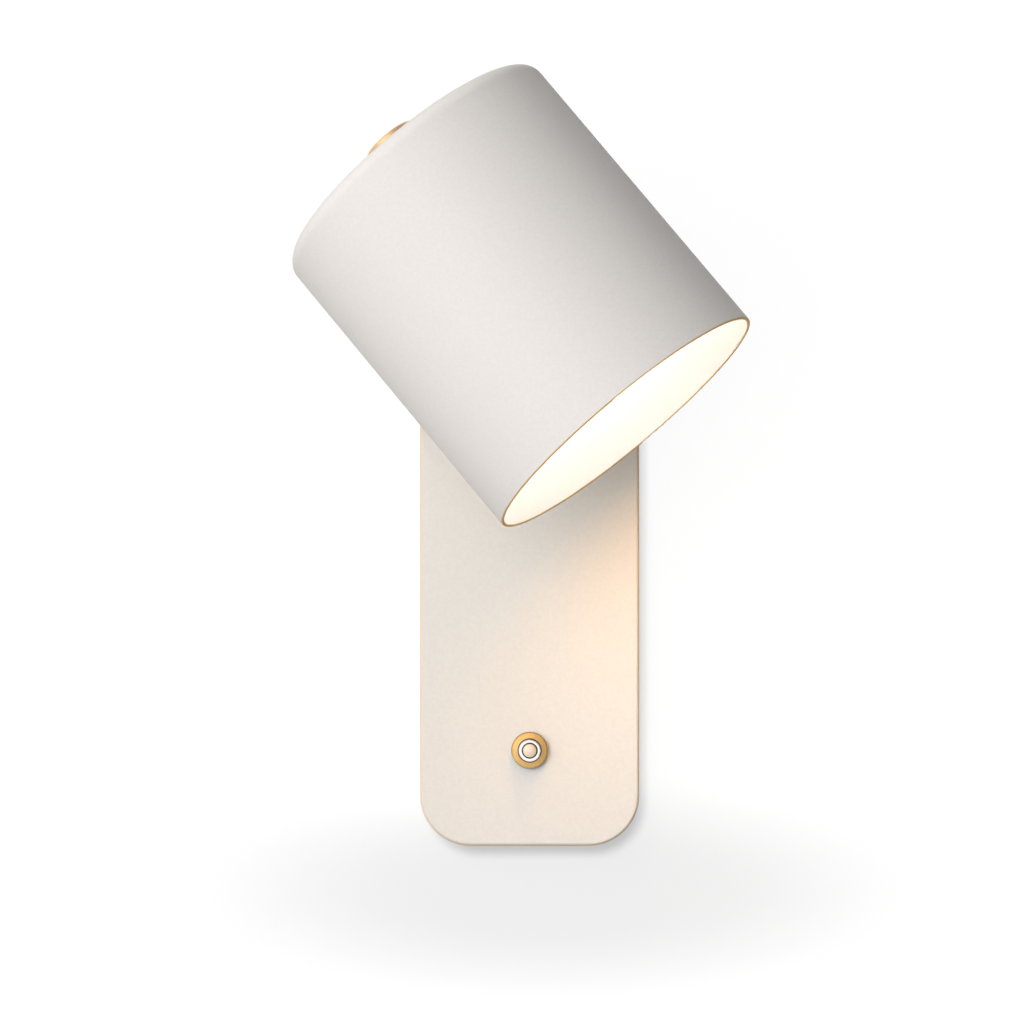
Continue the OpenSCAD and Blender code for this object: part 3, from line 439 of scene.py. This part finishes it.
def make_return_spring():
    lo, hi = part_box("switch_spring")
    middle = (lo + hi) / 2
    length = hi.y - lo.y
    coil_r = (hi.x - lo.x) / 2 - COIL_WIRE_R
    closed_pitch = 2 * COIL_WIRE_R
    closed_length = (COIL_TURNS - open_turns(COIL_TURNS)) * closed_pitch
    open_pitch = (length - 2 * COIL_WIRE_R - closed_length) / open_turns(COIL_TURNS)
    bm = bmesh.new()
    rings = []
    for i in range(COIL_TURNS * COIL_STEPS + 1):
        turn = i / COIL_STEPS
        opened = open_turns(turn)
        back = COIL_WIRE_R + (turn - opened) * closed_pitch + opened * open_pitch
        outwards = Vector((math.cos(2 * math.pi * turn), 0, math.sin(2 * math.pi * turn)))
        centre = Vector((middle.x, lo.y + back, middle.z)) + coil_r * outwards
        ring = []
        for k in range(COIL_SIDES):
            angle = 2 * math.pi * k / COIL_SIDES
            offset = math.cos(angle) * outwards + math.sin(angle) * WALL_AXIS
            ring.append(bm.verts.new(centre + COIL_WIRE_R * offset))
        rings.append(ring)
    for a, b in zip(rings, rings[1:]):
        for k in range(COIL_SIDES):
            bm.faces.new([a[k], a[(k + 1) % COIL_SIDES], b[(k + 1) % COIL_SIDES], b[k]]).smooth = True
    bm.faces.new(rings[0])
    bm.faces.new(rings[-1])
    bmesh.ops.recalc_face_normals(bm, faces=bm.faces)
    mesh = bpy.data.meshes.new("return_spring")
    bm.to_mesh(mesh)
    bm.free()
    mesh.materials.append(MATERIALS["zinc_steel"])
    spring = bpy.data.objects.new("return_spring", mesh)
    scene.collection.objects.link(spring)
    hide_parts("switch_spring")
    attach(spring, "button")
    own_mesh(spring)


# Stage: a pale wall that runs down into a pale floor, with a painted faint soft shadow on it below the
# lamp.
# It has a hole behind the backplate and is clear from behind, so that views from there show the lamp.
WALL_GAP = 0.2 * MM
WALL_HALF = 2.5
FLOOR_Z = -1.9
FLOOR_DEPTH = 5
HOLE_INSET_X = 4 * MM
HOLE_INSET_Z = 20 * MM
WALL_COLOUR = (0.26, 0.26, 0.26)
WALL_ROUGHNESS = 0.9
WALL_WHITE = 0.60
PAINTED_SHADOW_CENTRE = Vector((9.5, 0, -138)) * MM
PAINTED_SHADOW_RADII = Vector((133, 1000, 41)) * MM
PAINTED_SHADOW_FADE = (0.35, 1.15)
PAINTED_SHADOW_DEPTH = 0.15


def seen_directly(nodes, links):
    """One for camera, glossy and transmission rays, zero for the light that bounces."""
    path = nodes.new("ShaderNodeLightPath").outputs
    seen = combine(nodes, links, "MAXIMUM", path["Is Camera Ray"], path["Is Glossy Ray"])
    return combine(nodes, links, "MAXIMUM", seen, path["Is Transmission Ray"])


def wall_material():
    material, nodes, links, shader = new_material("pale_wall")
    shader.inputs["Base Color"].default_value = (*WALL_COLOUR, 1)
    shader.inputs["Roughness"].default_value = WALL_ROUGHNESS
    shader.inputs["Specular IOR Level"].default_value = 0
    shader.inputs["Emission Color"].default_value = (1, 1, 1, 1)

    # Painted shadow: the wall's white is turned down in a wide soft oval below the lamp
    from_centre = vector_step(nodes, links, "SUBTRACT", object_coords(nodes), PAINTED_SHADOW_CENTRE)
    radii_off = vector_step(nodes, links, "DIVIDE", from_centre, PAINTED_SHADOW_RADII)
    reach = vector_step(nodes, links, "LENGTH", radii_off)
    tone = remap(nodes, links, reach, *PAINTED_SHADOW_FADE, WALL_WHITE - PAINTED_SHADOW_DEPTH, WALL_WHITE)
    tone.node.interpolation_type = "SMOOTHSTEP"
    white = combine(nodes, links, "MULTIPLY", seen_directly(nodes, links), tone)
    links.new(white, shader.inputs["Emission Strength"])

    mix = nodes.new("ShaderNodeMixShader")
    links.new(nodes.new("ShaderNodeNewGeometry").outputs["Backfacing"], mix.inputs["Fac"])
    links.new(shader.outputs["BSDF"], mix.inputs[1])
    links.new(nodes.new("ShaderNodeBsdfTransparent").outputs["BSDF"], mix.inputs[2])
    links.new(mix.outputs["Shader"], nodes["Material Output"].inputs["Surface"])
    return material


def make_stage():
    xs = [-WALL_HALF, plate_lo.x + HOLE_INSET_X, plate_hi.x - HOLE_INSET_X, WALL_HALF]
    zs = [FLOOR_Z, plate_lo.z + HOLE_INSET_Z, plate_hi.z - HOLE_INSET_Z, WALL_HALF]
    hole = (1, 1)
    bm = bmesh.new()
    rows = [[bm.verts.new((x, WALL_GAP, z)) for x in xs] for z in zs]
    for i, (lower, upper) in enumerate(zip(rows, rows[1:])):
        for k in range(len(xs) - 1):
            if (i, k) != hole:
                bm.faces.new([lower[k], lower[k + 1], upper[k + 1], upper[k]])
    front = [bm.verts.new((x, -FLOOR_DEPTH, FLOOR_Z)) for x in xs]
    for k in range(len(xs) - 1):
        bm.faces.new([front[k], front[k + 1], rows[0][k + 1], rows[0][k]])
    mesh = bpy.data.meshes.new("backdrop")
    bm.to_mesh(mesh)
    bm.free()
    mesh.materials.append(wall_material())
    backdrop = bpy.data.objects.new("backdrop", mesh)
    scene.collection.objects.link(backdrop)
    return backdrop


def add_light(name, kind, energy, colour=(1, 1, 1)):
    data = bpy.data.lights.new(name, kind)
    data.energy = energy
    data.color = colour
    light = bpy.data.objects.new(name, data)
    scene.collection.objects.link(light)
    return light


def linked(name, objects, state):
    """A collection that includes these objects, or excludes them, for a light."""
    group = bpy.data.collections.new(name)
    for obj in objects:
        group.objects.link(obj)
    for entry in group.collection_objects:
        entry.light_linking.link_state = state
    return group


# Room: bright on the left and darker on the right, with a white card round the camera for the metal.
# The camera itself sees it white.
ROOM_MEAN = 0.41
ROOM_SLOPE = 0.41
ROOM_AXIS = Vector((-1, 0, 0))
CARD_FROM = Vector((-0.12, -0.99, 0.05)).normalized()
CARD_LEVEL = 0.7
CARD_INNER = math.cos(math.radians(16))
CARD_OUTER = math.cos(math.radians(34))


def make_room():
    world = bpy.data.worlds.new("studio")
    world.use_nodes = True
    nodes, links = world.node_tree.nodes, world.node_tree.links
    direction = nodes.new("ShaderNodeTexCoord").outputs["Generated"]
    aside = vector_step(nodes, links, "DOT_PRODUCT", direction, ROOM_AXIS)
    room = remap(nodes, links, aside, -1, 1, ROOM_MEAN - ROOM_SLOPE, ROOM_MEAN + ROOM_SLOPE)
    ahead = vector_step(nodes, links, "DOT_PRODUCT", direction, CARD_FROM)
    card = remap(nodes, links, ahead, CARD_OUTER, CARD_INNER, 0, CARD_LEVEL)
    lit = combine(nodes, links, "ADD", room, card)
    seen = nodes.new("ShaderNodeLightPath").outputs["Is Camera Ray"]
    background = nodes["Background"]
    background.inputs["Color"].default_value = (1, 1, 1, 1)
    links.new(combine(nodes, links, "MAXIMUM", lit, seen), background.inputs["Strength"])
    scene.world = world


# A soft key for the lamp alone
KEY_FROM = Vector((-0.49, -0.84, 0.20)).normalized()
KEY_DISTANCE = 2.2
KEY_SIZE = 1.8
KEY_LEVEL = 0.49


def make_key(backdrop):
    key = add_light("key", "AREA", KEY_LEVEL * (math.pi * KEY_DISTANCE) ** 2)
    key.data.shape = "DISK"
    key.data.size = KEY_SIZE
    key.location = KEY_FROM * KEY_DISTANCE
    key.rotation_euler = KEY_FROM.to_track_quat("Z", "Y").to_euler()
    key.light_linking.receiver_collection = linked("key_receivers", [backdrop], "EXCLUDE")


# A soft light for the wall alone, which gives the backplate its small shadow
WALL_LIGHT_FROM = Vector((-0.106, -1, 0.2)).normalized()
WALL_LIGHT_LEVEL = 1.15
WALL_LIGHT_ANGLE = 12


def make_wall_light(backdrop):
    light = add_light("wall_light", "SUN", WALL_LIGHT_LEVEL * math.pi)
    light.data.angle = math.radians(WALL_LIGHT_ANGLE)
    light.rotation_euler = WALL_LIGHT_FROM.to_track_quat("Z", "Y").to_euler()
    light.light_linking.receiver_collection = linked("wall_receivers", [backdrop], "INCLUDE")
    light.light_linking.blocker_collection = linked("wall_blockers", [NODES["backplate"]], "INCLUDE")


# The bulb's warm spill on the backplate, beyond what its own glow gives. It rides with the bulb.
SPILL_COLOUR = (1.0, 0.42, 0.01)
SPILL_WATTS = 0.38
SPILL_RADIUS = 28 * MM
SPILL_AHEAD = 20 * MM
SPILL_INWARDS = 4 * MM


def make_spill(backdrop):
    spill = add_light("spill", "POINT", SPILL_WATTS, SPILL_COLOUR)
    spill.data.shadow_soft_size = SPILL_RADIUS
    spill.location = centre_of("bulb_globe") + SPILL_AHEAD * lamp_axis + SPILL_INWARDS * WALL_AXIS
    spill.parent = NODES["bulb_globe"]
    unlit = [NODES["shade"], NODES["bulb_globe"], backdrop]
    spill.light_linking.receiver_collection = linked("spill_receivers", unlit, "EXCLUDE")
    spill.light_linking.blocker_collection = linked("spill_blockers", [NODES["bulb_globe"]], "EXCLUDE")


# A warm beam that grazes the backplate's front from above and gives the switch its long soft shadow
GRAZE_FROM = Vector((0.155, -0.26, 0.95)).normalized()
GRAZE_COLOUR = (1.0, 0.68, 0.26)
GRAZE_LEVEL = 1.02
GRAZE_ANGLE = 5
GRAZE_DISTANCE = 0.35
GRAZE_WIDTH = 0.15
GRAZE_HEIGHT = 0.052
GRAZE_MIDDLE_Z = -45 * MM
GRAZE_BLOCKERS = ("switch_ring_nut", "switch_bushing", "switch_button", "backplate")


def make_graze():
    graze = add_light("graze", "AREA", GRAZE_LEVEL * GRAZE_WIDTH * GRAZE_HEIGHT, GRAZE_COLOUR)
    graze.data.shape = "RECTANGLE"
    graze.data.size = GRAZE_WIDTH
    graze.data.size_y = GRAZE_HEIGHT
    graze.data.spread = math.radians(GRAZE_ANGLE)
    graze.location = Vector((0, plate_lo.y, GRAZE_MIDDLE_Z)) + GRAZE_DISTANCE * GRAZE_FROM
    across = (Vector((1, 0, 0)) - GRAZE_FROM.x * GRAZE_FROM).normalized()
    axes = Matrix((across, GRAZE_FROM.cross(across), GRAZE_FROM)).transposed()
    graze.rotation_euler = axes.to_euler()
    graze.visible_camera = False
    blockers = [NODES[name] for name in GRAZE_BLOCKERS]
    graze.light_linking.receiver_collection = linked("graze_receivers", [NODES["backplate"]], "INCLUDE")
    graze.light_linking.blocker_collection = linked("graze_blockers", blockers, "INCLUDE")


make_camera()
dress_nodes()
make_return_spring()
stage = make_stage()
make_room()
make_key(stage)
make_wall_light(stage)
make_spill(stage)
make_graze()
scene.view_settings.view_transform = "Standard"
